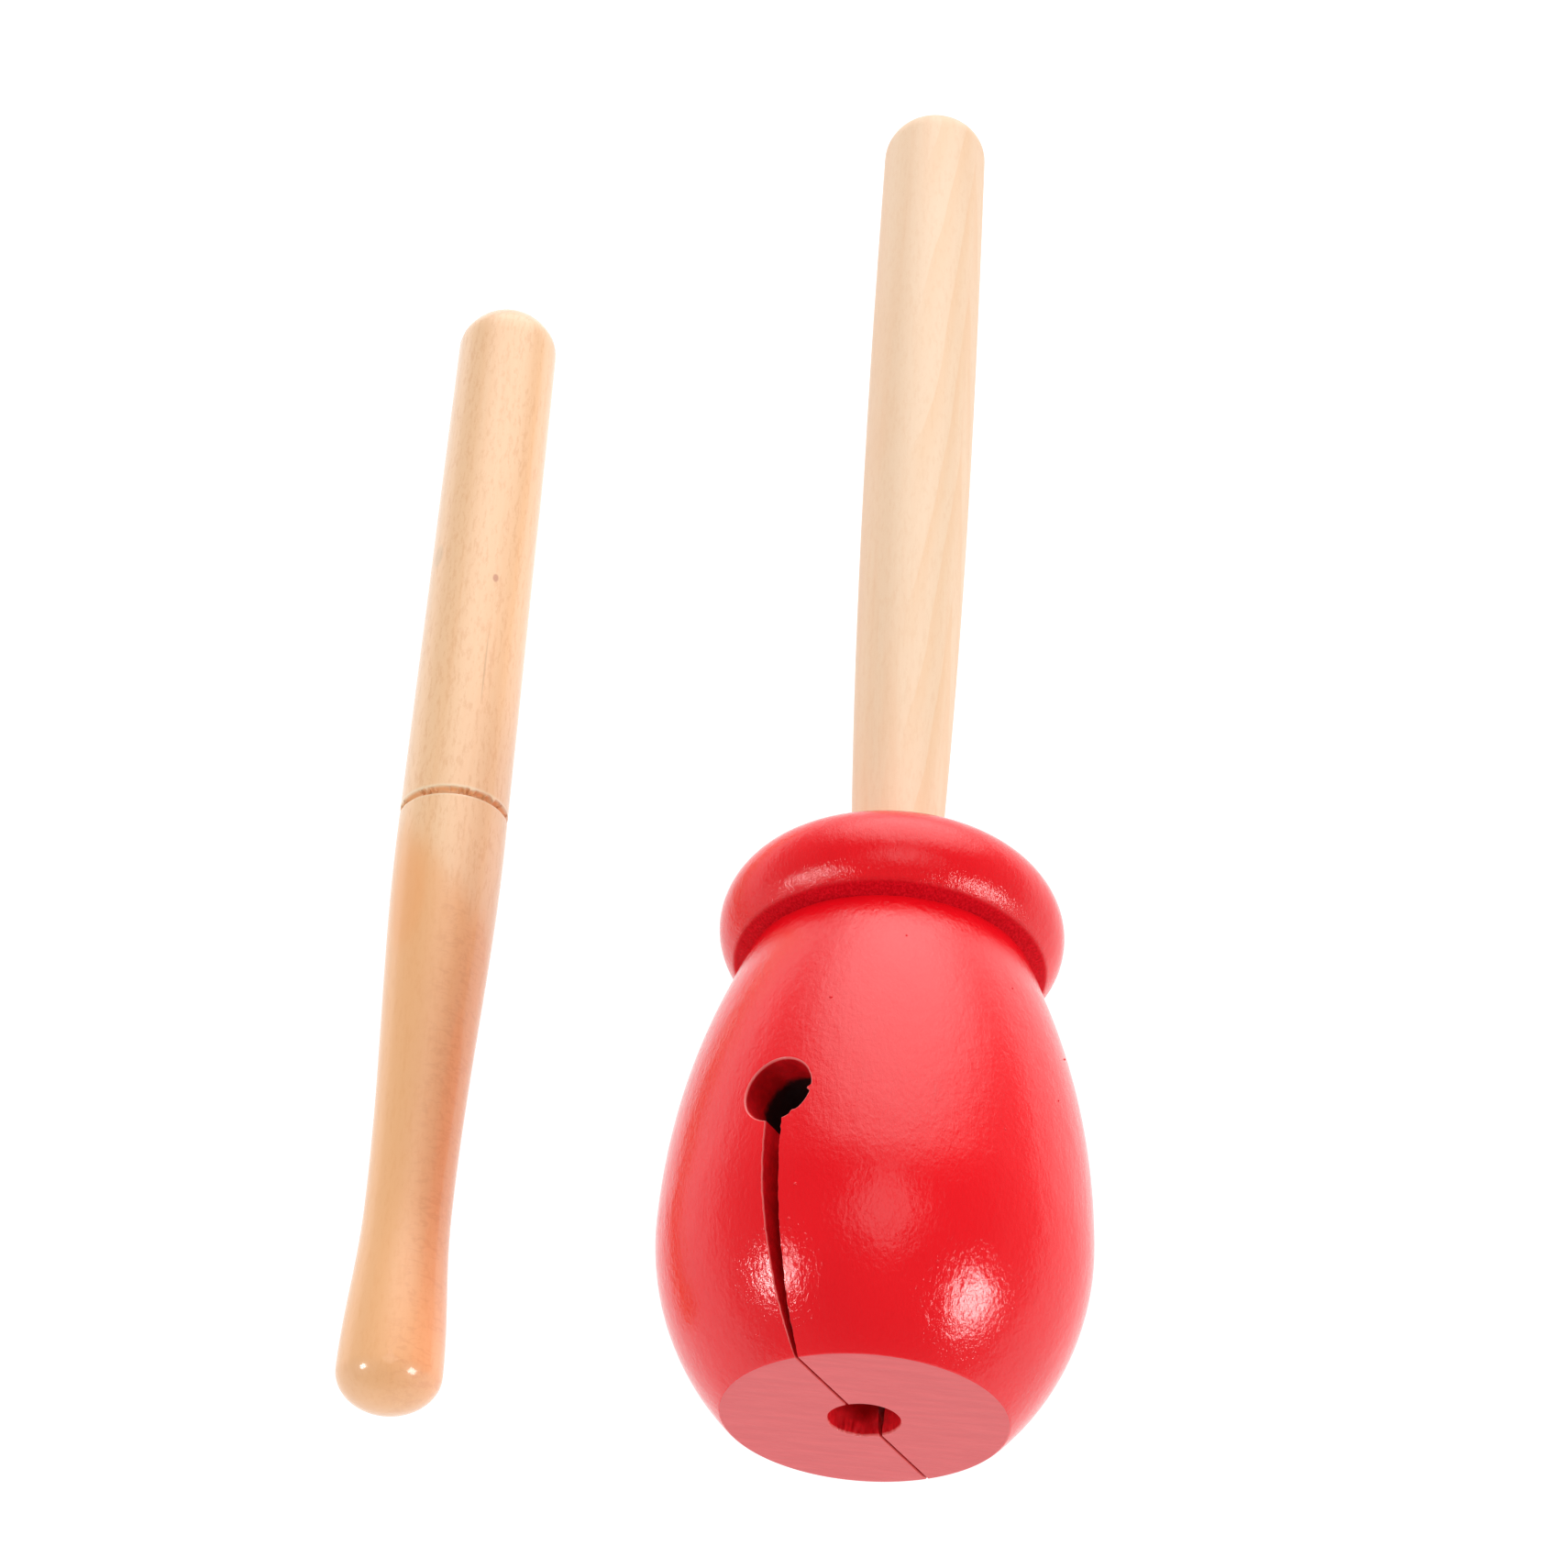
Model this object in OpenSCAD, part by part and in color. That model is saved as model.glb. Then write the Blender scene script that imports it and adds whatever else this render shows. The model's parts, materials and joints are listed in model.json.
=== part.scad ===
// Slit block on a handle, with its loose beater, both lying on a table.
//
// The sounding block is one turned piece: a flat-based egg that narrows to a neck
// and ends in a round collar. A bore runs up its axis from the base, a second hole
// is drilled straight across it, and a saw kerf in the plane of that second hole
// splits the lower part into two tongues. A turned stick is glued into the collar
// as the handle. The beater is a single turned stick that lies beside the block.
//
// Millimetres. Each piece is drawn upright on +Z and then laid on the table, z = 0,
// with the base end towards -Y and the handle towards +Y.

/* [Block] */
// widest diameter of the block
belly_d = 56; // [50:1:60]
// height of the widest place above the base
belly_z = 24.6; // [22:0.2:28]
// diameter of the flat base
base_d = 35.8; // [32:0.2:40]
// rounding of the rim of the base
base_edge = 0.6; // [0.3:0.1:1]
// radius of the curve above the widest place
shoulder_r = 100; // [90:2:108]
// slope of the straight part below the neck, in degrees
neck_slope = 19; // [17:0.5:20]
// height of the crease under the collar
neck_z = 65.2; // [64:0.2:68]
// diameter of the collar
collar_d = 47.7; // [46:0.1:50]
// radius of the collar's rounded rim
bead_r = 8; // [7.5:0.1:9]

/* [Sound openings] */
// diameter of the drill used for the bore and for the cross hole
drill_d = 9; // [7:0.5:10]
// depth of the bore from the base
bore_depth = 45; // [40:1:50]
// height of the cross hole above the base
cross_z = 31.6; // [30:0.2:34]
// width of the saw kerf at the cross hole
kerf_w = 2.2; // [1.5:0.1:3]
// width left at the base, where the two tongues spring together
kerf_base_w = 0.4; // [0.3:0.1:1.2]
// height at which the tongues start to bend towards each other
kerf_bend_z = 24; // [18:1:26]
// how far the kerf is turned away from straight up, in degrees
kerf_turn = 31; // [0:1:60]

/* [Handle] */
// length of block and handle together
whole_length = 244.2; // [230:0.1:260]
// diameter of the handle where it leaves the collar
handle_root_d = 12.1; // [11.5:0.1:15]
// diameter of the handle at its tip
handle_tip_d = 17.4; // [15:0.1:19]
// how early the handle fills out to its full thickness
handle_fill = 3; // [1:0.5:4]
// length of the rounded tip
handle_dome = 7; // [6:0.2:9]
// diameter of the tenon in the collar
tenon_d = 9.4; // [8:0.2:11]
// length of the tenon
tenon_length = 22; // [16:1:24]
// thickness of the glue film around the tenon
glue_gap = 0.05; // [0.03:0.01:0.1]

/* [Beater] */
// length of the beater
beater_length = 189; // [170:0.1:200]
// diameter of its near, knobbed end
knob_d = 14.2; // [13:0.2:16]
// length of the rounding on the knobbed end
knob_dome = 5.5; // [4:0.1:7]
// diameter of its waist
waist_d = 12; // [11:0.2:13]
// diameter of its thick end
beater_d = 16; // [14.6:0.2:18]
// distance of the waist from the near end
waist_at = 28; // [20:1:35]
// distance at which the full thickness is reached
full_at = 87.5; // [70:0.5:88]
// length of the cap on the thick end
beater_dome = 5.6; // [4:0.1:12]
// where on its oval the cap starts, in degrees; 0 is a full quarter oval
cap_from = 23; // [0:1:40]
// distance of the turned groove from the near end
groove_at = 91.4; // [90:0.2:100]
// width of the groove at the surface
groove_w = 1.6; // [1:0.1:2.5]
// depth of the groove
groove_depth = 1; // [0.6:0.1:1.5]

/* [Placing] */
// distance from the block's axis to the beater's near end
beater_away = 61.3; // [50:0.1:80]
// how far the beater's near end lies behind the block's base
beater_back = 3.2; // [0:0.2:20]
// how far the beater is turned away from the handle, in degrees
beater_turn = 2.25; // [0:0.25:4]

/* [Hidden] */
$fn = 96;

lacquer_red = [0.78, 0.06, 0.09];
handle_wood = [0.93, 0.80, 0.63];
beater_wood = [0.88, 0.67, 0.45];

belly_r = belly_d / 2;
base_r = base_d / 2;
collar_r = collar_d / 2;
knob_r = knob_d / 2;
beater_r = beater_d / 2;
tip_r = handle_tip_d / 2;

// the lower curve runs from the rim of the base and is upright at the widest place
lower_r = (pow(belly_z, 2) + pow(belly_r - base_r, 2)) / (2 * (belly_r - base_r));

// the shoulder curve turns through neck_slope and then runs straight to the neck
slope_start_r = belly_r - shoulder_r * (1 - cos(neck_slope));
slope_start_z = belly_z + shoulder_r * sin(neck_slope);
neck_r = slope_start_r - (neck_z - slope_start_z) * tan(neck_slope);

// the collar's round rim passes through the crease at the neck
bead_in = collar_r - bead_r;
bead_z = neck_z + sqrt(pow(bead_r, 2) - pow(neck_r - bead_in, 2));
collar_top = bead_z + bead_r;

// the socket is a little deeper than the tenon, for the spare glue
socket_depth = tenon_length + 1;
handle_length = whole_length - collar_top;
dome_start = whole_length - handle_dome;
full_end = beater_length - beater_dome;

// cutters run this far past the surface they open
overcut = 1;
// steps in short and in long curves of the outlines
short_steps = 12;
long_steps = 18;

// Half the length of an oval's shadow on the vertical, when the oval with the given
// half-lengths along and across its axis is tipped by the given angle.
function reach(along, across, tip) = sqrt(pow(along * sin(tip), 2) + pow(across * cos(tip), 2));

// Tipping angle at which the shoulder curve and the handle's tip both touch the
// table, found by repeating one step that settles at once.
function settle(tip, steps) = steps == 0 ? tip : settle(
    asin((shoulder_r + (belly_r - shoulder_r) * cos(tip) - reach(handle_dome, tip_r, tip))
        / (dome_start - belly_z)),
    steps - 1);
lie_angle = settle(5, 6);
base_height = belly_z * sin(lie_angle) + (belly_r - shoulder_r) * cos(lie_angle) + shoulder_r;

// the row's origin is under the middle of everything that lies on the table
far_x = -beater_away - full_end * sin(beater_turn) - beater_r * cos(beater_turn);
near_y = -base_r * sin(lie_angle);
far_y = dome_start * cos(lie_angle) + reach(tip_r, handle_dome, lie_angle);
middle = [(belly_r + far_x) / 2, (near_y + far_y) / 2];

// Points [radius, height] of an arc, with angles counted from straight outwards
// towards +Z.
function arc(mid_r, mid_z, r, from, to, steps) = [
    for (i = [0:steps])
        let (a = from + (to - from) * i / steps)
        [mid_r + r * cos(a), mid_z + r * sin(a)]
];

// Points of a rounded end from the side at height z to the axis: a quarter oval, or
// the part of it above an angle, which meets the side with a crease.
function dome(r, z, height, steps, from = 0) = [
    for (i = [0:steps])
        let (a = from + (90 - from) * i / steps)
        [r * cos(a) / cos(from), z + height * (sin(a) - sin(from)) / (1 - sin(from))]
];

// Points of a smooth change of radius that starts and ends straight.
function swell(r0, r1, z0, z1, steps) = [
    for (i = [1:steps])
        let (u = i / steps)
        [r0 + (r1 - r0) * (1 - cos(180 * u)) / 2, z0 + (z1 - z0) * u]
];

// Outline of the block from the middle of its base to the middle of its top.
function block_outline() = let (
    rim_angle = -asin((belly_z - base_edge) / lower_r),
    shoulder_step = neck_slope / 6,
    crease_angle = atan2(neck_z - bead_z, neck_r - bead_in)
) concat(
    [[0, 0]],
    arc(base_r - base_edge / 2, base_edge, base_edge, -90, -50, 3),
    arc(belly_r - lower_r, belly_z, lower_r, rim_angle, 0, long_steps),
    arc(belly_r - shoulder_r, belly_z, shoulder_r, shoulder_step, neck_slope, 5),
    arc(bead_in, bead_z, bead_r, crease_angle, 90, long_steps),
    [[0, collar_top]]
);

// Shape of the kerf seen square to its plane: parallel at the cross hole, with the
// two walls bending together towards the base.
function kerf_half(z) = let (bend = max(0, 1 - z / kerf_bend_z))
    (kerf_w - (kerf_w - kerf_base_w) * pow(bend, 2)) / 2;

module kerf_shape() {
    steps = 6;
    rising = concat([-overcut], [for (i = [0:steps]) kerf_bend_z * i / steps], [cross_z]);
    falling = [for (i = [len(rising) - 1:-1:0]) rising[i]];
    polygon(concat(
        [for (z = rising) [kerf_half(max(z, 0)), z]],
        [for (z = falling) [-kerf_half(max(z, 0)), z]]
    ));
}

module block() {
    through = belly_d + 4 * overcut;
    color(lacquer_red)
    lay_instrument()
    difference() {
        rotate_extrude() polygon(block_outline());
        // bore up the axis, open at the base
        translate([0, 0, -overcut]) cylinder(d = drill_d, h = bore_depth + overcut);
        // hole straight across, through both sides
        translate([0, 0, cross_z]) rotate([90, 0, 0])
            cylinder(d = drill_d, h = through, center = true);
        // saw kerf through both sides, from the base up to the cross hole
        rotate([90, 0, 0]) linear_extrude(height = through, center = true) kerf_shape();
        // socket for the handle
        translate([0, 0, collar_top - socket_depth])
            cylinder(r = tenon_d / 2 + glue_gap, h = socket_depth + overcut);
    }
}

// Outline of the handle above the collar: one long curve that is parallel at the
// tip, and a rounded end.
function handle_outline() = let (
    root_r = handle_root_d / 2,
    side = dome_start - collar_top,
    steps = short_steps
) concat(
    [[0, 0]],
    [for (i = [0:steps - 1])
        [tip_r - (tip_r - root_r) * pow(1 - i / steps, handle_fill), side * i / steps]],
    dome(tip_r, side, handle_dome, short_steps)
);

module handle() {
    color(handle_wood)
    lay_instrument() {
        translate([0, 0, collar_top]) rotate_extrude() polygon(handle_outline());
        translate([0, 0, collar_top - tenon_length])
            cylinder(d = tenon_d, h = tenon_length + overcut);
    }
}

// Outline of the beater from its knobbed end to its thick end.
function beater_outline() = let (
    knob = dome(knob_r, -knob_dome, knob_dome, short_steps)
) concat(
    [for (i = [short_steps:-1:0]) [knob[i][0], -knob[i][1]]],
    swell(knob_r, waist_d / 2, knob_dome, waist_at, short_steps),
    swell(waist_d / 2, beater_r, waist_at, full_at, short_steps),
    dome(beater_r, full_end, beater_dome, short_steps, cap_from)
);

module beater() {
    // the groove's sides run on to the overcut at the same slope
    groove_half = groove_w / 2 * (groove_depth + overcut) / groove_depth;
    color(beater_wood)
    translate([-middle[0] - beater_away, beater_back - middle[1], beater_r])
    rotate([90, 0, 180 + beater_turn])
    difference() {
        rotate_extrude() polygon(beater_outline());
        // turned groove at mid-length
        translate([0, 0, groove_at]) rotate_extrude() polygon([
            [beater_r - groove_depth, 0],
            [beater_r + overcut, -groove_half],
            [beater_r + overcut, groove_half]
        ]);
    }
}

// Lays the upright block or handle down, with the kerf turned to its side.
module lay_instrument() {
    translate([-middle[0], -middle[1], base_height])
    rotate([90 + lie_angle, 0, 180])
    rotate([0, 0, -kerf_turn])
    children();
}

block();
handle();
beater();
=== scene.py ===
"""Looks of a handled slit wood block and its loose beater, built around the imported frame.

Shapes are worked out in millimetres, each piece standing on +Z of its own frame, and are then
laid in the row frame in metres. The block is turned, and then drilled and sawn with cutters
whose mouths are rounded and torn as the real ones are.
"""

import json
import math

import bmesh
import bpy
import numpy as np
from mathutils import Matrix, Vector


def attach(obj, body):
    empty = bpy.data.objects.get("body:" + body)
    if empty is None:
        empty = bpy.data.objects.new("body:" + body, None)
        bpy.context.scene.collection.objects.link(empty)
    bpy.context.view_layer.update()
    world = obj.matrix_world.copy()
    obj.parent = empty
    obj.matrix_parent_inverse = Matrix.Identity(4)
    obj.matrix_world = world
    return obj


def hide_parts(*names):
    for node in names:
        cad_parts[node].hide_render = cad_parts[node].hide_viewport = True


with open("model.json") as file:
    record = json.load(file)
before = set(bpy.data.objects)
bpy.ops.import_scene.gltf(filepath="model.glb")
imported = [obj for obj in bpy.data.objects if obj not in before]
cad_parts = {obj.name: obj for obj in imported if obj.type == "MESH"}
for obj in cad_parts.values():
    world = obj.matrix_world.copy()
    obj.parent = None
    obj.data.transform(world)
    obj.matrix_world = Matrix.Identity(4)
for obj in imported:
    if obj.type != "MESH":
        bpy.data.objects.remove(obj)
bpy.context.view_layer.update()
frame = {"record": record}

MM = 0.001
MOUNTS = {mount["name"]: mount for mount in frame["record"]["mounts"]}

# Turned shape of the block, in mm, as the CAD has it.
BELLY_Z = 24.6
BASE_R = 17.9
BASE_EDGE = 0.6
SHOULDER_R = 100.0
NECK_SLOPE = math.radians(19)
NECK_Z = 65.2
COLLAR_R = 23.85
BEAD_R = 8.0
BELLY_R = 28.0

# Sound openings, in mm. Their places and the drill come from the mounts.
DRILL_R = MOUNTS["axial_bore"]["dims"]["r_mm"]
BORE_DEPTH = MOUNTS["axial_bore"]["dims"]["length_mm"]
KERF_W = 2.2
KERF_BASE_W = 0.4
KERF_BEND_Z = 24.0
RIM_ROUND = 0.4

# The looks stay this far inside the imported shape, in mm.
INSET = 0.03

# Handle, in mm.
WHOLE_LENGTH = 244.2
HANDLE_ROOT_R = 6.05
HANDLE_TIP_R = 8.7
HANDLE_FILL = 3
HANDLE_DOME = 7.0
TENON_R = 4.7
TENON_LENGTH = 22.0
GLUE_GAP = 0.05

# Beater, in mm and degrees. Its near end lies this far from the middle of the block's base.
BEATER_LENGTH = 189.0
KNOB_R = 7.1
KNOB_DOME = 5.5
WAIST_R = 6.0
BEATER_R = 8.0
WAIST_AT = 28.0
FULL_AT = 87.5
BEATER_DOME = 5.6
CAP_FROM = math.radians(23)
GROOVE_AT = 91.4
GROOVE_W = 1.6
GROOVE_DEPTH = 1.0
BEATER_AWAY = 61.3
BEATER_BACK = 3.2
BEATER_TURN = 2.25


# ---------------------------------------------------------------- frames of the pieces

def unit(values):
    return Vector(values).normalized()


def instrument_frame():
    """Frame at the middle of the base: X along the cross hole, Z along the axis to the handle."""
    along = -unit(MOUNTS["axial_bore"]["axis"])
    across = unit(MOUNTS["cross_hole"]["axis"])
    on_axis = Vector(MOUNTS["axial_bore"]["pos_m"])
    on_base = Vector(MOUNTS["base_face"]["pos_m"])
    middle = on_axis + along * (on_base - on_axis).dot(along)
    side = along.cross(across)
    place = Matrix((across, side, along)).transposed().to_4x4()
    place.translation = middle
    return place


def beater_frame(base_middle):
    """Frame at the beater's near end, Z along it and Y straight up."""
    turn = math.radians(BEATER_TURN)
    along = Vector((-math.sin(turn), math.cos(turn), 0))
    upward = Vector((0, 0, 1))
    place = Matrix((upward.cross(along), upward, along)).transposed().to_4x4()
    corner = Vector((base_middle.x - BEATER_AWAY * MM, base_middle.y + BEATER_BACK * MM, 0))
    place.translation = corner + upward * BEATER_R * MM
    return place


INSTRUMENT = instrument_frame()
BEATER = beater_frame(INSTRUMENT.translation)
CROSS_Z = (INSTRUMENT.inverted() @ Vector(MOUNTS["cross_hole"]["pos_m"])).z / MM


# ---------------------------------------------------------------- noise and small curves

def smooth(low, high, value):
    """0 below low, 1 above high, and a soft change between."""
    share = np.clip((value - low) / (high - low), 0, 1)
    return share * share * (3 - 2 * share)


def value_noise(seed, u, v, wrap):
    """Soft noise from -1 to 1 on a lattice of whole numbers, repeating after wrap steps of v."""
    table = np.random.default_rng(seed).uniform(-1, 1, (512, int(wrap)))
    iu = np.floor(u).astype(int)
    iv = np.floor(v).astype(int)
    fu = u - iu
    fv = v - iv
    fu = fu * fu * (3 - 2 * fu)
    fv = fv * fv * (3 - 2 * fv)
    near = table[iu % 512, iv % int(wrap)] * (1 - fv) + table[iu % 512, (iv + 1) % int(wrap)] * fv
    far = table[(iu + 1) % 512, iv % int(wrap)] * (1 - fv) + table[(iu + 1) % 512, (iv + 1) % int(wrap)] * fv
    return near * (1 - fu) + far * fu


def arc(mid_r, mid_z, radius, start, end, steps):
    """Points (r, z) on an arc, with angles counted from straight outwards towards +Z."""
    angles = np.linspace(start, end, steps + 1)
    return np.column_stack((mid_r + radius * np.cos(angles), mid_z + radius * np.sin(angles)))


def dome(radius, z, height, steps, start=0.0):
    """Points (r, z) of a rounded end, from its side to the axis: a quarter oval, or the part of
    it above the angle start, which meets the side with a crease."""
    angles = np.linspace(start, math.pi / 2, steps + 1)
    climb = (np.sin(angles) - math.sin(start)) / (1 - math.sin(start))
    return np.column_stack((radius * np.cos(angles) / math.cos(start), z + height * climb))


def straight(start, end, steps):
    """Points between two ends, leaving both ends out."""
    share = np.linspace(0, 1, steps + 1)[1:-1, None]
    return np.array(start) * (1 - share) + np.array(end) * share


def even_angles(count):
    return np.arange(count) * 2 * math.pi / count


# ---------------------------------------------------------------- making meshes

def mesh_object(name, points, faces, place, materials=(), indices=None):
    """An object whose mesh is in metres and whose own frame is place."""
    mesh = bpy.data.meshes.new(name)
    mesh.from_pydata((np.asarray(points) * MM).tolist(), [], faces)
    for material in materials:
        mesh.materials.append(material)
    if indices is not None:
        mesh.polygons.foreach_set("material_index", np.asarray(indices, np.int32))
    mesh.update()
    piece = bpy.data.objects.new(name, mesh)
    bpy.context.scene.collection.objects.link(piece)
    piece.matrix_world = place
    return piece


def tube_faces(rows, columns, first=0):
    """Quads of a tube of rings, each ring closed on itself."""
    j = np.arange(columns)
    k = (j + 1) % columns
    quads = [np.column_stack((i * columns + j, i * columns + k, (i + 1) * columns + k, (i + 1) * columns + j))
             for i in range(rows - 1)]
    return (np.concatenate(quads) + first).tolist()


def closed_tube(rings):
    """Points and faces of a tube with its two ends capped."""
    rows, columns = rings.shape[:2]
    caps = [list(range(columns))[::-1], list(range((rows - 1) * columns, rows * columns))]
    return rings.reshape(-1, 3), tube_faces(rows, columns) + caps


def turned_surface(outline, angles, lift=None):
    """Points and faces of a solid of revolution. The outline runs from the axis at the bottom,
    outwards and up, to the axis at the top. lift moves points out along the normal."""
    ring_points = outline[1:-1]
    slope = np.gradient(outline, axis=0)[1:-1]
    normal = np.column_stack((slope[:, 1], -slope[:, 0]))
    normal /= np.linalg.norm(normal, axis=1)[:, None]
    height = np.zeros((len(ring_points), len(angles))) if lift is None else lift
    r = ring_points[:, 0, None] + height * normal[:, 0, None]
    z = ring_points[:, 1, None] + height * normal[:, 1, None]
    rings = np.stack((r * np.cos(angles), r * np.sin(angles), z), axis=-1)
    points = np.concatenate((rings.reshape(-1, 3), [[0, 0, outline[0, 1]], [0, 0, outline[-1, 1]]]))
    rows, columns = rings.shape[:2]
    faces = tube_faces(rows, columns)
    low, high = rows * columns, rows * columns + 1
    last = (rows - 1) * columns
    for j in range(columns):
        k = (j + 1) % columns
        faces.append([low, k, j])
        faces.append([high, last + j, last + k])
    return points, faces


def settle_mesh(piece, sharp_degrees):
    """Shades the piece, stores each point's place in the piece's own frame, in mm, for the
    materials, and brings the mesh into the row frame."""
    mesh = piece.data
    mesh.shade_smooth()
    mesh.set_sharp_from_angle(angle=math.radians(sharp_degrees))
    own = mesh.attributes.new("own_mm", "FLOAT_VECTOR", "POINT")
    own.data.foreach_set("vector", np.ravel(mesh_points(mesh)).astype(np.float32))
    mesh.transform(piece.matrix_world)
    piece.matrix_world = Matrix.Identity(4)


def mesh_points(mesh):
    """All points of a mesh in millimetres."""
    flat = np.empty(len(mesh.vertices) * 3, np.float32)
    mesh.vertices.foreach_get("co", flat)
    return flat.reshape(-1, 3) / MM


# ---------------------------------------------------------------- outline of the block

def lower_radius():
    drop = BELLY_R - BASE_R
    return (BELLY_Z ** 2 + drop ** 2) / (2 * drop)


def shoulder_end():
    """Where the shoulder curve ends and the straight cone to the neck begins."""
    return np.array((BELLY_R - SHOULDER_R * (1 - math.cos(NECK_SLOPE)),
                     BELLY_Z + SHOULDER_R * math.sin(NECK_SLOPE)))


def neck_radius():
    r, z = shoulder_end()
    return r - (NECK_Z - z) * math.tan(NECK_SLOPE)


def bead_middle():
    """(r, z) of the middle of the collar's round section."""
    inward = COLLAR_R - BEAD_R
    return inward, NECK_Z + math.sqrt(BEAD_R ** 2 - (neck_radius() - inward) ** 2)


COLLAR_TOP = bead_middle()[1] + BEAD_R


def body_radius(z):
    """Radius of the block's side below the neck at height z."""
    z = np.asarray(z, float)
    low = BELLY_R - lower_radius() + np.sqrt(lower_radius() ** 2 - (BELLY_Z - np.minimum(z, BELLY_Z)) ** 2)
    high = BELLY_R - SHOULDER_R + np.sqrt(SHOULDER_R ** 2 - (np.maximum(z, BELLY_Z) - BELLY_Z) ** 2)
    end_r, end_z = shoulder_end()
    cone = end_r - (z - end_z) * math.tan(NECK_SLOPE)
    return np.where(z < BELLY_Z, low, np.where(z < end_z, high, cone))


def block_outline():
    """Outline of the block, close where holes are cut and where the grain is torn."""
    inward, bead_z = bead_middle()
    neck = (neck_radius(), NECK_Z)
    crease = math.atan2(NECK_Z - bead_z, neck[0] - inward)
    heights = np.concatenate((np.arange(0.8, 26, 0.5), np.arange(26, 37.5, 0.25), np.arange(38, NECK_Z - 1, 0.7)))
    side = np.column_stack((body_radius(heights), heights))
    rim = arc(BASE_R - BASE_EDGE / 2, BASE_EDGE, BASE_EDGE, -math.pi / 2, math.radians(-45), 5)
    top = (inward, COLLAR_TOP)
    return np.concatenate((
        [(0, 0)],
        straight((0, 0), rim[0], 18),
        rim,
        side,
        straight(side[-1], neck, 4),
        arc(inward, bead_z, BEAD_R, crease, math.pi / 2, 70),
        straight(top, (0, COLLAR_TOP), 14),
        [(0, COLLAR_TOP)],
    ))


def block_angles():
    """Angles around the block, closer where the kerf and the cross hole are cut."""
    close = math.radians(13)
    fine = np.linspace(-close, close, 90)
    coarse = np.linspace(close, math.pi - close, 190)[1:-1]
    half = np.concatenate((fine, coarse))
    return np.concatenate((half, half + math.pi))


# ---------------------------------------------------------------- turning marks on the block

def lacquer_lift(outline, angles):
    """Height of the lacquered surface above the true turned shape, in mm."""
    z = outline[1:-1, 1, None] + 0 * angles
    r = outline[1:-1, 0, None] + 0 * angles
    turn = angles[None, :] / (2 * math.pi) % 1 + 0 * r
    on_side = smooth(0.3, 2.0, z)
    lift = on_side * (0.012 * value_noise(1, z / 6, turn * 24, 24) - 0.012) - INSET
    torn = smooth(0.8, 0.95, torn_grain(outline))[1:-1, None]
    cells = 0.045 * value_noise(2, z / 0.5, turn * 300, 300) + 0.03 * value_noise(3, z / 0.9, turn * 160, 160)
    return lift + torn * (cells - 0.07)


def torn_grain(outline):
    """How rough the end grain is: 1 in the crease under the collar, 0 above its widest place."""
    inward, bead_z = bead_middle()
    tilt = np.degrees(np.arctan2(outline[:, 1] - bead_z, outline[:, 0] - inward))
    on_bead = outline[:, 1] > NECK_Z - 0.05
    return (1 - np.clip((tilt + 60) / 75, 0, 1)) * on_bead


# ---------------------------------------------------------------- cutters

MOUTH_STEPS = (-1.0, 0.0, 0.03, 0.08, 0.16, 0.26, 0.4)


def flare(depth):
    """How much wider a rounded mouth is at a depth below the surface."""
    inside = np.clip(depth / RIM_ROUND, 0.04, 1)
    widening = RIM_ROUND * (1 - np.sqrt(1 - (1 - inside) ** 2))
    return widening + np.clip(-depth, 0, None)


def kerf_half(z):
    """Half the width of the kerf: parallel at the cross hole, closing towards the base."""
    bend = np.clip(1 - z / KERF_BEND_Z, 0, 1)
    return (KERF_W - (KERF_W - KERF_BASE_W) * bend ** 2) / 2


def kerf_cutter():
    """A thin slab in the XZ plane, with rounded, slightly torn mouths at the side and the base."""
    depths = np.array(MOUTH_STEPS + (1.0, 4.0, 10.0))
    low = np.array((-1.0, 0.0, 0.03, 0.08, 0.16, 0.3))
    heights = np.concatenate((low, np.arange(0.6, CROSS_Z, 0.45), [CROSS_Z]))
    rings = []
    for z in heights:
        reach = float(body_radius(max(z, 0)))
        across = np.concatenate((-(reach - depths), (reach - depths)[::-1]))
        below = np.minimum(np.concatenate((depths, depths[::-1])), max(z, 0) if z >= 0 else z)
        half = {}
        for side in (-1, 1):
            torn = value_noise(11 + side, np.array(z / 0.55), np.array(0.0), 4) * 0.07
            torn += value_noise(15 + side, np.array(z / 2.3), np.array(0.0), 4) * 0.05
            edge = 1 - smooth(0, 1.2, below)
            rough = 0.25 + 0.75 * smooth(0, 3, np.array(z))
            half[side] = kerf_half(max(z, 0)) + rough * (0.5 * flare(below) + torn * edge)
        front = np.column_stack((across, -half[-1], np.full(len(across), z)))
        back = np.column_stack((across[::-1], half[1][::-1], np.full(len(across), z)))
        rings.append(np.concatenate((front, back)))
    return closed_tube(np.array(rings))


def cross_cutter():
    """A drill straight through along X, with rounded mouths that follow the curved side. One
    edge of the mouth, beside the kerf, is torn."""
    around = even_angles(240)
    depths = np.array(MOUTH_STEPS + (0.9, 3.0))
    chips = value_noise(21, around * 0 + 0.5, around / (2 * math.pi) * 44, 44)
    chips = np.clip(chips, 0, 1) * np.exp(-((around - math.radians(125)) / 0.7) ** 2)
    rings = []
    for side, order in ((1, depths), (-1, depths[::-1])):
        for depth in order:
            edge = 1 - smooth(0.0, 1.6, np.array(depth))
            radius = DRILL_R + flare(np.array(depth)) - 0.8 * chips * edge * (side > 0)
            y = radius * np.sin(around)
            z = CROSS_Z + radius * np.cos(around)
            x = np.sqrt(body_radius(z) ** 2 - y ** 2) - depth
            rings.append(np.column_stack((side * x, y, z)))
    return closed_tube(np.array(rings))


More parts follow.
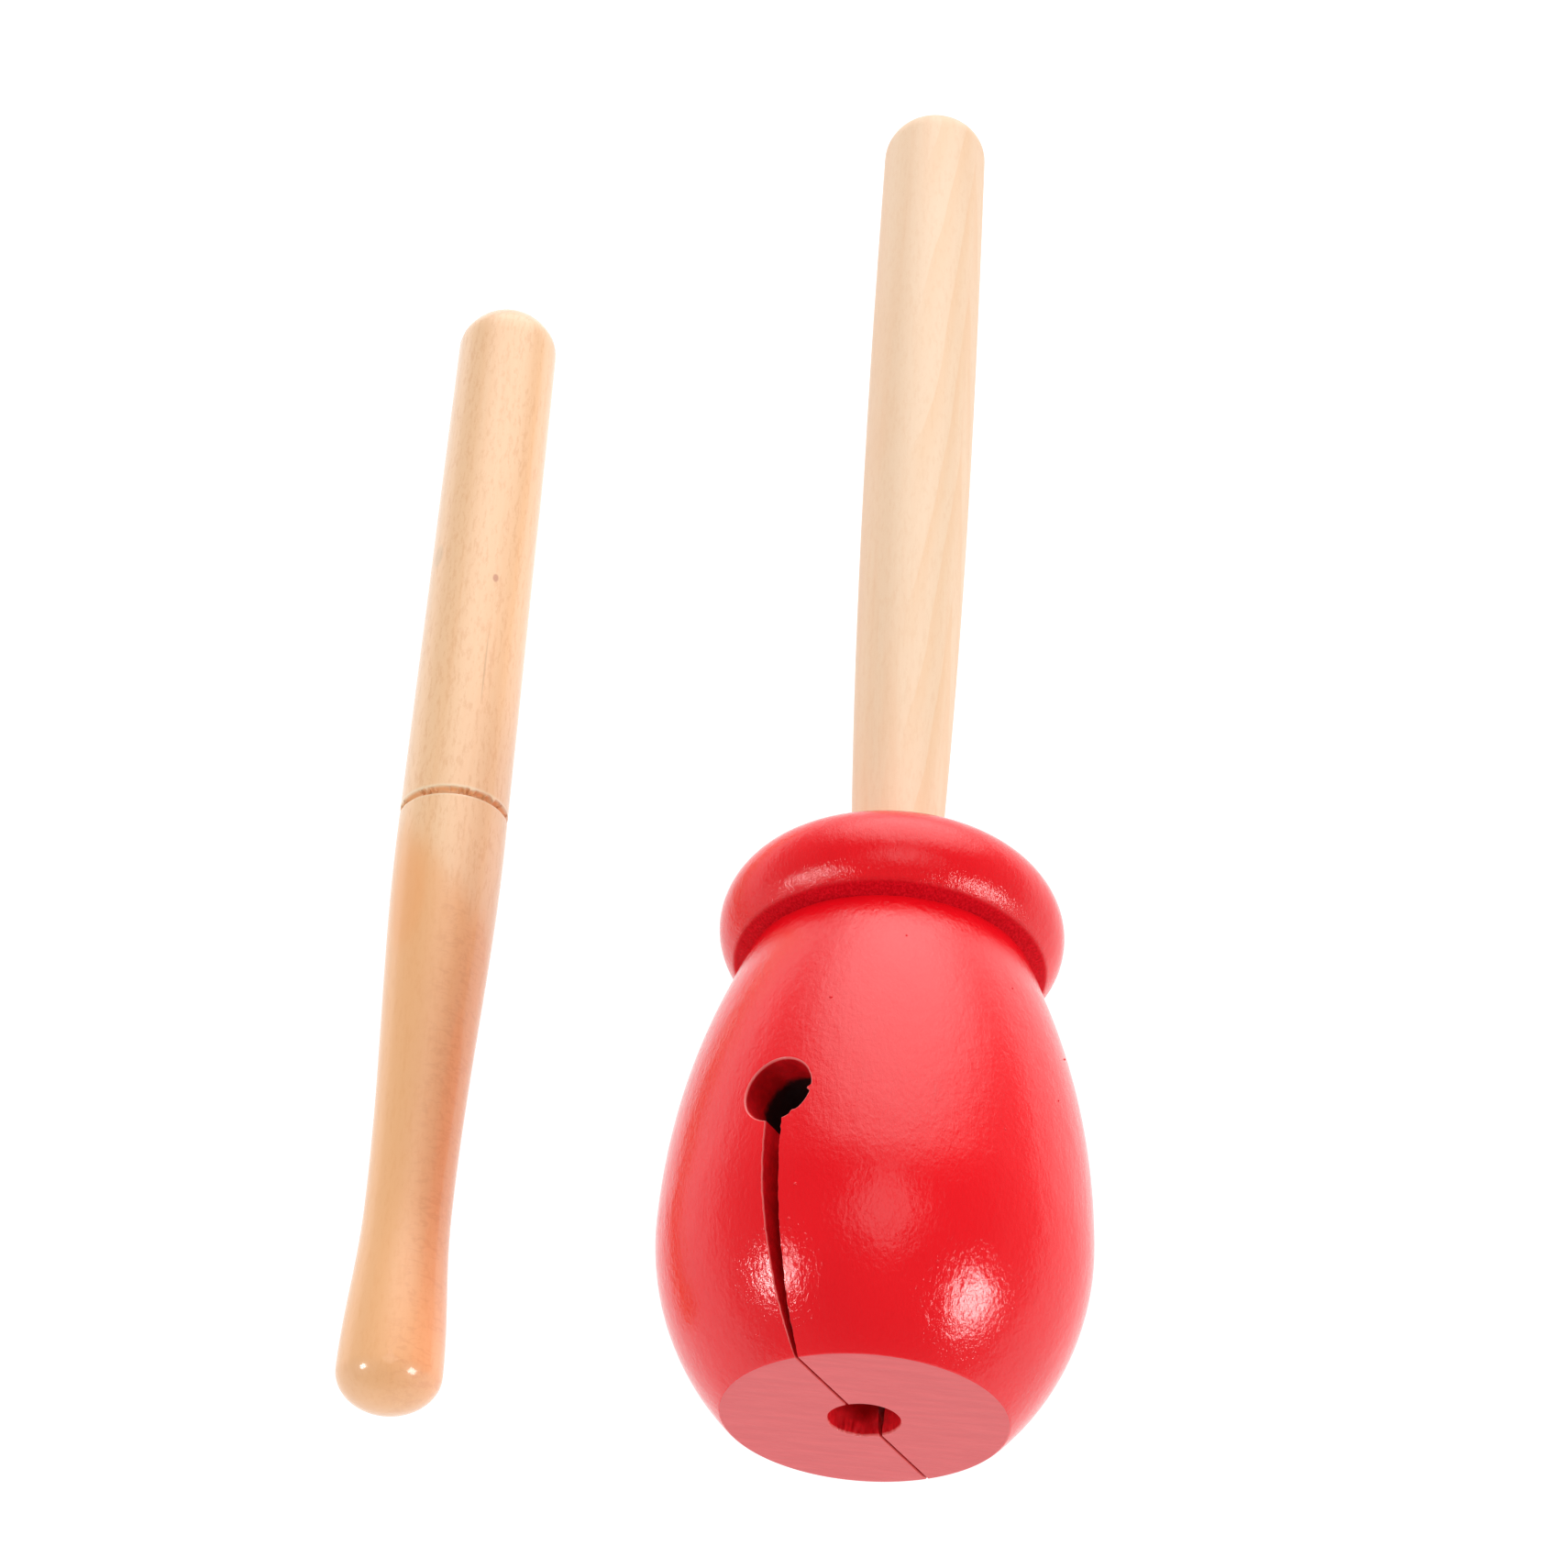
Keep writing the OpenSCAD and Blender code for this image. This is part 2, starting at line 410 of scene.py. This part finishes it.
def bore_cutter():
    """The drill up the axis from the base, its lower lip torn."""
    around = even_angles(360)
    heights = np.array(MOUTH_STEPS + (0.5, 0.8, 1.1, 1.6, 2.2, 3.0, BORE_DEPTH))
    lip = math.radians(211)
    lower = np.exp(-((np.mod(around - lip + math.pi, 2 * math.pi) - math.pi) / 1.1) ** 2)
    rings = []
    for z in heights:
        torn = value_noise(31, around * 0 + z / 1.2 + 2, around / (2 * math.pi) * 84, 84)
        torn = torn * lower * (1 - smooth(0.5, 2.8, np.array(z)))
        radius = DRILL_R + 0.4 * flare(np.array(z)) - 0.22 * np.clip(torn, -0.3, 1)
        rings.append(np.column_stack((radius * np.cos(around), radius * np.sin(around), np.full(len(around), z))))
    return closed_tube(np.array(rings))


def socket_cutter():
    around = even_angles(96)
    radius = TENON_R + GLUE_GAP
    rings = [np.column_stack((radius * np.cos(around), radius * np.sin(around), np.full(len(around), z)))
             for z in (COLLAR_TOP - TENON_LENGTH - 1, COLLAR_TOP + 1)]
    return closed_tube(np.array(rings))


def cut(piece, cutters, materials, index):
    """Cuts the piece with closed cutters. The new walls take the material with that index."""
    for name, (points, faces) in cutters.items():
        tool = mesh_object(name, points, faces, piece.matrix_world, materials, [index] * len(faces))
        step = piece.modifiers.new(name, "BOOLEAN")
        step.operation = "DIFFERENCE"
        step.solver = "EXACT"
        step.object = tool
        tool.hide_render = True
    bpy.context.view_layer.update()
    view = bpy.context.evaluated_depsgraph_get()
    result = bpy.data.meshes.new_from_object(piece.evaluated_get(view))
    piece.modifiers.clear()
    piece.data = result
    for name in cutters:
        tool = bpy.data.objects[name]
        mesh = tool.data
        bpy.data.objects.remove(tool)
        bpy.data.meshes.remove(mesh)


# ---------------------------------------------------------------- materials

class Nodes:
    """A short way to write a material's node tree."""

    def __init__(self, name):
        self.material = bpy.data.materials.new(name)
        self.material.use_nodes = True
        self.tree = self.material.node_tree
        self.shader = self.tree.nodes["Principled BSDF"]

    def add(self, kind, **settings):
        node = self.tree.nodes.new(kind)
        for key, value in settings.items():
            setattr(node, key, value)
        return node

    def link(self, source, target):
        self.tree.links.new(source, target)

    def place(self, scale, move=(0, 0, 0), turn=0.0):
        """Place in the piece's own frame in millimetres: stretched, turned about Z and moved."""
        own = self.add("ShaderNodeAttribute", attribute_name="own_mm")
        turned = self.add("ShaderNodeMapping")
        turned.inputs["Rotation"].default_value = (0, 0, math.radians(turn))
        self.link(own.outputs["Vector"], turned.inputs["Vector"])
        mapping = self.add("ShaderNodeMapping")
        mapping.inputs["Scale"].default_value = scale
        mapping.inputs["Location"].default_value = move
        self.link(turned.outputs["Vector"], mapping.inputs["Vector"])
        return mapping.outputs["Vector"]

    def spot(self, radius, degrees, height, size):
        """1 inside a small oval at a place on a turned piece, 0 outside it."""
        angle = math.radians(degrees)
        middle = (radius * math.cos(angle), radius * math.sin(angle), height)
        scale = [1 / s for s in size]
        length = self.add("ShaderNodeVectorMath", operation="LENGTH")
        self.link(self.place(scale, [-m * k for m, k in zip(middle, scale)]), length.inputs[0])
        return self.spread(length.outputs["Value"], 1.2, 0.6)

    def noise(self, scale, detail=3.0, roughness=0.55, distortion=0.0, turn=0.0):
        node = self.add("ShaderNodeTexNoise")
        node.inputs["Scale"].default_value = 1.0
        node.inputs["Detail"].default_value = detail
        node.inputs["Roughness"].default_value = roughness
        node.inputs["Distortion"].default_value = distortion
        self.link(self.place(scale, turn=turn), node.inputs["Vector"])
        return node.outputs["Fac"]

    def spread(self, source, low, high, to_low=0.0, to_high=1.0):
        node = self.add("ShaderNodeMapRange", interpolation_type="SMOOTHSTEP")
        for name, value in (("From Min", low), ("From Max", high), ("To Min", to_low), ("To Max", to_high)):
            node.inputs[name].default_value = value
        self.link(source, node.inputs["Value"])
        return node.outputs["Result"]

    def mix(self, share, first, second):
        """A colour between two colours or colour sockets."""
        node = self.add("ShaderNodeMix", data_type="RGBA")
        self.feed(share, node.inputs[0])
        self.feed(first, node.inputs[6])
        self.feed(second, node.inputs[7])
        return node.outputs[2]

    def math(self, operation, first, second):
        node = self.add("ShaderNodeMath", operation=operation)
        self.feed(first, node.inputs[0])
        self.feed(second, node.inputs[1])
        return node.outputs[0]

    def feed(self, source, target):
        if isinstance(source, bpy.types.NodeSocket):
            self.link(source, target)
        elif isinstance(source, tuple) and len(source) == 3:
            target.default_value = (*source, 1.0)
        else:
            target.default_value = source

    def bump(self, layers):
        """Stacks height maps: each layer is (height, depth in mm)."""
        normal = None
        for height, depth in layers:
            node = self.add("ShaderNodeBump")
            node.inputs["Strength"].default_value = 1.0
            node.inputs["Distance"].default_value = depth * MM
            self.link(height, node.inputs["Height"])
            if normal is not None:
                self.link(normal, node.inputs["Normal"])
            normal = node.outputs["Normal"]
        self.link(normal, self.shader.inputs["Normal"])

    def attribute(self, name):
        return self.add("ShaderNodeAttribute", attribute_name=name).outputs["Fac"]

    def set(self, **values):
        for name, value in values.items():
            self.feed(value, self.shader.inputs[name.replace("_", " ")])


def red_lacquer():
    """Gloss red over turned wood: orange peel, raised grain, and a duller torn crease."""
    nodes = Nodes("red_lacquer")
    rough = nodes.attribute("torn")
    torn = nodes.spread(rough, 0.74, 0.86)
    cloud = nodes.noise((0.05, 0.05, 0.03), 2)
    grain = nodes.noise((0.9, 0.9, 0.07), 4, 0.6)
    speckle = nodes.noise((3.4, 3.4, 1.6), 2, 0.6)
    colour = nodes.mix(nodes.spread(cloud, 0.35, 0.7), (0.79, 0.003, 0.009), (0.86, 0.005, 0.011))
    colour = nodes.mix(nodes.spread(grain, 0.55, 0.8, 0, 0.25), colour, (0.68, 0.002, 0.007))
    crease = nodes.mix(nodes.spread(speckle, 0.35, 0.7), (0.50, 0.001, 0.006), (0.72, 0.005, 0.015))
    colour = nodes.mix(torn, colour, crease)
    peel = nodes.noise((2.0, 2.0, 1.4), 3, 0.65, 0.3)
    ripple = nodes.noise((0.45, 0.45, 0.3), 2, 0.5)
    fibres = nodes.noise((2.6, 2.6, 0.9), 3, 0.7)
    nodes.set(Base_Color=colour)
    nodes.link(nodes.spread(torn, 0, 1, 0.095, 0.6), nodes.shader.inputs["Roughness"])
    nodes.link(nodes.spread(torn, 0, 1, 0.5, 0.04), nodes.shader.inputs["Specular IOR Level"])
    nodes.bump(((ripple, 0.08), (grain, 0.02), (peel, 0.06), (nodes.math("MULTIPLY", fibres, rough), 0.10)))
    return nodes.material


def red_end_grain():
    """The sawn base: a dull pink-red with faint saw lines. Its pink is partly thin lacquer on end grain and partly a
    painted sheen of the light the flat face reflects.
    """
    nodes = Nodes("red_end_grain")
    lines = nodes.noise((0.1, 0.9, 1.0), 4, 0.65, turn=-121)
    pores = nodes.noise((1.1, 1.1, 1.1), 4, 0.7)
    # Partly painted sheen: this pink, far paler than the lacquer, stands in for light reflected by the flat base as
    # well as for its thin lacquer.
    colour = nodes.mix(nodes.spread(lines, 0.35, 0.7), (0.68, 0.078, 0.085), (0.74, 0.093, 0.101))
    nodes.set(Base_Color=colour, Roughness=0.45)
    nodes.bump(((lines, 0.03), (pores, 0.05)))
    return nodes.material


def red_cut_wall():
    """Walls of the drilled holes and the kerf: a painted pale highlight along the lip, red below it, and painted shade,
    nearly black, further in."""
    nodes = Nodes("red_cut_wall")
    ragged = nodes.noise((0.8, 0.8, 0.8), 3, 0.6)
    # Painted highlight: the lip mask marks the rounded mouth of each hole and of the kerf.
    lip = nodes.spread(nodes.attribute("depth"), 0.42, 0.2, 0, 0.75)
    depth = nodes.math("ADD", nodes.attribute("depth"), nodes.math("MULTIPLY", ragged, 1.6))
    colour = nodes.mix(nodes.spread(ragged, 0.35, 0.75), (0.60, 0.003, 0.008), (0.82, 0.006, 0.014))
    # Painted shade: past about 5 mm in, with a ragged edge, the wall colour goes nearly black, standing in for the
    # shade deep in the holes.
    colour = nodes.mix(nodes.spread(depth, 5.0, 6.2), colour, (0.03, 0.006, 0.006))
    # Painted highlight: the lip is painted a pale pink line, and is glossier than the wall.
    colour = nodes.mix(lip, colour, (0.86, 0.20, 0.19))
    nodes.link(nodes.spread(lip, 0, 0.75, 0.5, 0.2), nodes.shader.inputs["Roughness"])
    nodes.set(Base_Color=colour, Specular_IOR_Level=0.3)
    nodes.bump(((ragged, 0.08),))
    return nodes.material


def streaked_wood(nodes, pale, warm, fleck, fleck_share):
    """Colour of fine pale wood, with long streaks and short pores that run along Z."""
    streak = nodes.noise((0.3, 0.3, 0.009), 5, 0.65, 0.4)
    cloud = nodes.noise((0.05, 0.05, 0.015), 2)
    pores = nodes.noise((1.5, 1.5, 0.4), 4, 0.75)
    colour = nodes.mix(nodes.spread(streak, 0.38, 0.7, 0, 0.7), pale, warm)
    colour = nodes.mix(nodes.spread(cloud, 0.45, 0.7, 0, 0.5), colour, warm)
    colour = nodes.mix(nodes.spread(pores, 0.48, 0.64, 0, fleck_share), colour, fleck)
    nodes.bump(((streak, 0.03), (pores, 0.05)))
    return colour


def tongue_figure(nodes, degrees):
    """Pointed tongues of darker wood, one above another, on the side turned by these degrees."""
    place = nodes.add("ShaderNodeSeparateXYZ")
    nodes.link(nodes.place((1, 1, 1), turn=-degrees), place.inputs["Vector"])
    aside = nodes.math("ABSOLUTE", place.outputs["Y"], 0.0)
    along = nodes.math("MULTIPLY", place.outputs["Z"], 0.028)
    slanted = nodes.math("ADD", along, nodes.math("MULTIPLY", aside, 0.3))
    uneven = nodes.math("MULTIPLY", nodes.noise((0.12, 0.12, 0.02), 2), 0.9)
    step = nodes.math("FRACT", nodes.math("ADD", slanted, uneven), 0.0)
    facing = nodes.spread(place.outputs["X"], 3.0, 6.5, 0, 0.42)
    return nodes.math("MULTIPLY", nodes.spread(step, 0.3, 0.95), facing)


def handle_wood():
    nodes = Nodes("handle_wood")
    colour = streaked_wood(nodes, (0.83, 0.60, 0.41), (0.81, 0.52, 0.32), (0.77, 0.49, 0.29), 0.35)
    tongues = tongue_figure(nodes, 81)
    colour = nodes.mix(tongues, colour, (0.80, 0.485, 0.26))
    nodes.set(Base_Color=colour, Roughness=0.42)
    return nodes.material


def beater_wood():
    """Warmer wood under a thin clear coat, with the marks this stick has."""
    nodes = Nodes("beater_wood")
    colour = streaked_wood(nodes, (0.86, 0.54, 0.305), (0.84, 0.485, 0.25), (0.74, 0.38, 0.18), 0.5)
    place = nodes.add("ShaderNodeSeparateXYZ")
    nodes.link(nodes.place((1, 1, 1)), place.inputs["Vector"])
    slant = nodes.math("SUBTRACT", place.outputs["Z"], nodes.math("MULTIPLY", place.outputs["X"], 1.25))
    uneven = nodes.math("MULTIPLY", nodes.noise((0.35, 0.35, 0.05), 3), 7)
    warmth = nodes.spread(nodes.math("SUBTRACT", slant, uneven), 79, 72, 0, 0.66)
    colour = nodes.mix(warmth, colour, (0.84, 0.40, 0.155))
    flush = nodes.spot(BEATER_R, 50, 74, (3.5, 3.5, 9))
    colour = nodes.mix(nodes.math("MULTIPLY", flush, 0.45), colour, (0.86, 0.37, 0.13))
    curl = nodes.noise((0.5, 0.5, 1.1), 4, 0.7, 0.6)
    curled_side = nodes.math("MULTIPLY", warmth, nodes.spread(place.outputs["X"], 1.5, -2.5))
    curl_share = nodes.math("MULTIPLY", nodes.spread(curl, 0.48, 0.62, 0, 0.6), curled_side)
    colour = nodes.mix(curl_share, colour, (0.72, 0.32, 0.14))
    # Pale wood at both lips of the groove: cut fibre ends, and partly a painted highlight along the edges.
    colour = nodes.mix(nodes.math("MULTIPLY", nodes.attribute("lips"), 0.7), colour, (0.88, 0.69, 0.47))
    colour = nodes.mix(nodes.attribute("groove"), colour, (0.86, 0.49, 0.25))
    pore = nodes.spot(BEATER_R, 111, 114, (0.16, 0.16, 6.5))
    knot = nodes.spot(BEATER_R, 112, 130.4, (0.5, 0.5, 0.8))
    smudge = nodes.spot(BEATER_R, 35, 136, (1.3, 1.3, 2.2))
    colour = nodes.mix(nodes.math("MULTIPLY", pore, 0.35), colour, (0.45, 0.22, 0.10))
    colour = nodes.mix(nodes.math("MULTIPLY", knot, 0.8), colour, (0.52, 0.20, 0.10))
    colour = nodes.mix(nodes.math("MULTIPLY", smudge, 0.3), colour, (0.45, 0.31, 0.18))
    nodes.set(Base_Color=colour, Roughness=0.45, Coat_Weight=0.8, Coat_Roughness=0.12)
    return nodes.material


# ---------------------------------------------------------------- pieces

def make_block():
    outline = block_outline()
    angles = block_angles()
    points, faces = turned_surface(outline, angles, lacquer_lift(outline, angles))
    materials = [red_lacquer(), red_end_grain(), red_cut_wall()]
    piece = mesh_object("block_turned", points, faces, INSTRUMENT, materials)
    cutters = {"bore_cutter": bore_cutter(), "cross_cutter": cross_cutter(),
               "kerf_cutter": kerf_cutter(), "socket_cutter": socket_cutter()}
    cut(piece, cutters, materials, 2)
    add_beads(piece, DUST + [SPLINTER])
    mark_faces(piece)
    mark_points(piece)
    settle_mesh(piece, 38)
    return piece


# Dust caught in the lacquer: height above the base in mm, angle in degrees, radius in mm.
DUST = [(45.3, 12, 0.32), (17.9, 7, 0.24), (13.9, 5, 0.22), (9.9, 46, 0.2), (2.8, -13, 0.22), (37.9, 83, 0.2),
        (4.5, 52, 0.18), (28.5, 61, 0.16), (12, 34, 0.16), (57, 33, 0.18), (48, 96, 0.2), (33, 150, 0.2),
        (11, 170, 0.22), (36, -95, 0.2), (19, -140, 0.2), (53, 70, 0.18)]
SPLINTER = (65.6, 86, 0.5)


def add_beads(piece, beads):
    """Adds half-sunk beads of lacquer to the side of the block."""
    shape = bmesh.new()
    shape.from_mesh(piece.data)
    for height, degrees, size in beads:
        angle = math.radians(degrees)
        radius = float(body_radius(height)) - INSET - 0.4 * size
        middle = Vector((radius * math.cos(angle), radius * math.sin(angle), height)) * MM
        place = Matrix.Translation(middle) @ Matrix.Scale(0.8, 4, middle.normalized())
        bmesh.ops.create_icosphere(shape, subdivisions=2, radius=size * MM, matrix=place)
    shape.to_mesh(piece.data)
    shape.free()


def mark_faces(piece):
    """Gives the flat base the end-grain material."""
    for face in piece.data.polygons:
        if face.material_index == 0 and face.center.z < 2 * INSET * MM:
            face.material_index = 1


def depth_under_skin(points):
    """Distance in mm of points in the block from its side or base, whichever is nearer."""
    below_side = body_radius(points[:, 2]) - np.hypot(points[:, 0], points[:, 1])
    return np.minimum(below_side, points[:, 2])


def mark_points(piece):
    """Stores how torn and how deep each point is, for the materials."""
    points = mesh_points(piece.data)
    outline = np.column_stack((np.hypot(points[:, 0], points[:, 1]), points[:, 2]))
    for name, values in (("torn", torn_grain(outline)), ("depth", depth_under_skin(points))):
        layer = piece.data.attributes.new(name, "FLOAT", "POINT")
        layer.data.foreach_set("value", values.astype(np.float32))


def handle_outline():
    """The stick above the collar and its tenon below, from the tenon's end to the tip."""
    start = WHOLE_LENGTH - HANDLE_DOME
    heights = np.linspace(COLLAR_TOP, start, 80)
    share = (start - heights) / (start - COLLAR_TOP)
    side = np.column_stack((HANDLE_TIP_R - (HANDLE_TIP_R - HANDLE_ROOT_R) * share ** HANDLE_FILL, heights))
    foot = COLLAR_TOP - TENON_LENGTH
    return np.concatenate((
        [(0, foot), (TENON_R - 0.5, foot), (TENON_R, foot + 0.5), (TENON_R, COLLAR_TOP - 0.1), (TENON_R, COLLAR_TOP)],
        side,
        dome(HANDLE_TIP_R, start, HANDLE_DOME, 28)[1:],
    ))


def make_handle():
    outline = handle_outline()
    angles = even_angles(160)
    z = outline[1:-1, 1, None] + 0 * angles
    turn = angles[None, :] / (2 * math.pi) + 0 * z
    lift = 0.015 * value_noise(41, z / 28, turn * 9, 9) - INSET
    points, faces = turned_surface(outline, angles, lift)
    piece = mesh_object("handle_stick", points, faces, INSTRUMENT, [handle_wood()])
    settle_mesh(piece, 40)
    return piece


def beater_radius(z):
    """Radius of the beater between its two rounded ends."""
    fall = smooth_turn((z - KNOB_DOME) / (WAIST_AT - KNOB_DOME))
    rise = smooth_turn((z - WAIST_AT) / (FULL_AT - WAIST_AT))
    return KNOB_R + (WAIST_R - KNOB_R) * fall + (BEATER_R - WAIST_R) * rise


def smooth_turn(share):
    return (1 - np.cos(math.pi * np.clip(share, 0, 1))) / 2


def make_beater():
    full_end = BEATER_LENGTH - BEATER_DOME
    near = dome(KNOB_R, -KNOB_DOME, KNOB_DOME, 24)[::-1] * (1, -1)
    heights = np.concatenate((
        np.arange(KNOB_DOME + 1, GROOVE_AT - 3, 1.0),
        np.arange(GROOVE_AT - 3, GROOVE_AT + 4, 0.08),
        np.arange(GROOVE_AT + 4.5, full_end, 1.6),
    ))
    outline = np.concatenate((
        near,
        np.column_stack((beater_radius(heights), heights)),
        dome(BEATER_R - 0.25, full_end + 0.1, BEATER_DOME - 0.1, 30, CAP_FROM),
    ))
    angles = even_angles(300)
    lift = beater_lift(outline, angles)
    points, faces = turned_surface(outline, angles, lift)
    piece = mesh_object("beater_stick", points, faces, BEATER, [beater_wood()])
    depth = np.append(-lift.ravel(), (0, 0))
    along = points[:, 2]
    near_lip, far_lip = groove_lips()
    # lips: pale cut fibre ends along the groove's edges, partly a painted highlight.
    lips = np.exp(-((along - near_lip) / 0.22) ** 2) + np.exp(-((along - far_lip) / 0.3) ** 2)
    for name, values in (("groove", smooth(0.15, 0.6, depth)), ("lips", lips)):
        layer = piece.data.attributes.new(name, "FLOAT", "POINT")
        layer.data.foreach_set("value", values.astype(np.float32))
    settle_mesh(piece, 50)
    return piece


def beater_lift(outline, angles):
    """Groove with one clean and one torn lip, and slight unevenness from sanding."""
    z = outline[1:-1, 1, None] + 0 * angles
    turn = angles[None, :] / (2 * math.pi) + 0 * z
    lift = 0.015 * value_noise(51, z / 22, turn * 8, 8) - INSET
    torn = value_noise(52, turn * 0 + 0.5, turn * 150, 150) + 0.5 * value_noise(53, turn * 0 + 0.5, turn * 40, 40)
    near_lip, far_lip = groove_lips()
    far_lip = far_lip - 1.1 * np.clip(torn - 0.15, 0, 0.7)
    down = smooth(near_lip - 0.05, near_lip + 0.25, z) * (1 - smooth(far_lip - 0.4, far_lip, z))
    return lift - GROOVE_DEPTH * down


def groove_lips():
    return GROOVE_AT - 0.4 * GROOVE_W, GROOVE_AT + 0.45 * GROOVE_W


# ---------------------------------------------------------------- stage, light and camera

TENT_R = 1.8
GLOW_FROM = (0.06, 0.85, 0.52)
GLOW_HALF_ANGLE = math.radians(46)
GLOW_STRENGTH = 2.7


def stage_mesh(name, points, faces, material):
    mesh = bpy.data.meshes.new(name)
    mesh.from_pydata(points, [], faces)
    mesh.materials.append(material)
    piece = bpy.data.objects.new(name, mesh)
    bpy.context.scene.collection.objects.link(piece)
    return piece


def make_floor():
    """A white, evenly lit table."""
    half = TENT_R
    nodes = Nodes("floor_paint")
    nodes.set(Base_Color=(0.12, 0.12, 0.12), Roughness=0.8, Emission_Color=(1.0, 1.0, 1.0), Emission_Strength=1.0)
    corners = [(-half, -half, 0), (half, -half, 0), (half, half, 0), (-half, half, 0)]
    stage_mesh("floor", corners, [(0, 1, 2, 3)], nodes.material)


def make_tent():
    """A tent over the table, with a large soft glow at the back and dim cloth elsewhere."""
    nodes = Nodes("tent_cloth")
    direction = nodes.add("ShaderNodeVectorMath", operation="NORMALIZE")
    nodes.link(nodes.add("ShaderNodeTexCoord").outputs["Object"], direction.inputs[0])
    toward_glow = nodes.add("ShaderNodeVectorMath", operation="DOT_PRODUCT")
    toward_glow.inputs[1].default_value = unit(GLOW_FROM)
    nodes.link(direction.outputs["Vector"], toward_glow.inputs[0])
    place = nodes.add("ShaderNodeSeparateXYZ")
    nodes.link(direction.outputs["Vector"], place.inputs["Vector"])
    glow = nodes.spread(toward_glow.outputs["Value"], math.cos(GLOW_HALF_ANGLE), 1.0, 0, GLOW_STRENGTH)
    cloth = nodes.spread(place.outputs["Z"], 0.0, 0.8, 0.42, 0.13)
    strength = nodes.math("ADD", glow, cloth)
    nodes.set(Base_Color=(0.1, 0.1, 0.1), Roughness=0.9, Emission_Color=(1.0, 1.0, 1.0), Emission_Strength=strength)
    columns, rows = 40, 10
    angles = even_angles(columns)
    climbs = np.linspace(0, math.pi / 2, rows + 1)[:-1, None]
    rings = TENT_R * np.stack((np.cos(climbs) * np.cos(angles), np.cos(climbs) * np.sin(angles),
                               np.sin(climbs) + 0 * angles), axis=-1)
    top = list(range((rows - 1) * columns, rows * columns))
    stage_mesh("tent", rings.reshape(-1, 3).tolist(), tube_faces(rows, columns) + [top], nodes.material)


def softbox(name, direction, distance, size, brightness):
    """A square soft light that faces the block, named by where it stands."""
    light = bpy.data.lights.new(name, "AREA")
    light.shape = "RECTANGLE"
    light.size, light.size_y = size
    light.energy = brightness * math.pi * size[0] * size[1]
    lamp = bpy.data.objects.new(name, light)
    bpy.context.scene.collection.objects.link(lamp)
    aim = INSTRUMENT @ Vector((0, 0, BELLY_Z * MM))
    lamp.location = aim + unit(direction) * distance
    lamp.rotation_euler = unit(direction).to_track_quat("Z", "Y").to_euler()


def make_light():
    world = bpy.data.worlds.new("studio")
    bpy.context.scene.world = world
    world.use_nodes = True
    world.node_tree.nodes["Background"].inputs["Color"].default_value = (1, 1, 1, 1)
    world.node_tree.nodes["Background"].inputs["Strength"].default_value = 0.15
    softbox("left_softbox", (-0.80, -0.33, 0.50), 0.9, (0.18, 0.18), 23)
    softbox("right_softbox", (0.78, -0.38, 0.49), 0.9, (0.27, 0.27), 15)
    softbox("top_light", (0.03, 0.04, 1.0), 1.2, (0.6, 0.6), 1.4)


def make_camera():
    """Camera at the photograph's viewing angle, placed from the middle of the block's base."""
    pitch, yaw, roll = (math.radians(value) for value in (57.45, -2.51, -2.93))
    data = bpy.data.cameras.new("camera")
    data.sensor_width = 36
    data.lens = 64.13
    data.shift_x = 0.0414
    data.shift_y = -0.002
    camera = bpy.data.objects.new("camera", data)
    bpy.context.scene.collection.objects.link(camera)
    turn = Matrix.Rotation(-yaw, 4, "Z") @ Matrix.Rotation(math.pi / 2 - pitch, 4, "X") @ Matrix.Rotation(-roll, 4, "Z")
    place = INSTRUMENT.translation + Vector((-16.51, -119.72, 330.05)) * MM
    camera.matrix_world = Matrix.Translation(place) @ turn
    bpy.context.scene.camera = camera


def main():
    block = make_block()
    handle = make_handle()
    beater = make_beater()
    for piece, body, node, slot in (
        (block, "instrument", "block", "red_lacquered_wood"),
        (handle, "instrument", "handle", "pale_handle_wood"),
        (beater, "beater", "beater", "pale_beater_wood"),
    ):
        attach(piece, body)
        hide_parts(node)
    make_floor()
    make_tent()
    make_light()
    make_camera()
    bpy.context.scene.view_settings.view_transform = "Standard"


main()
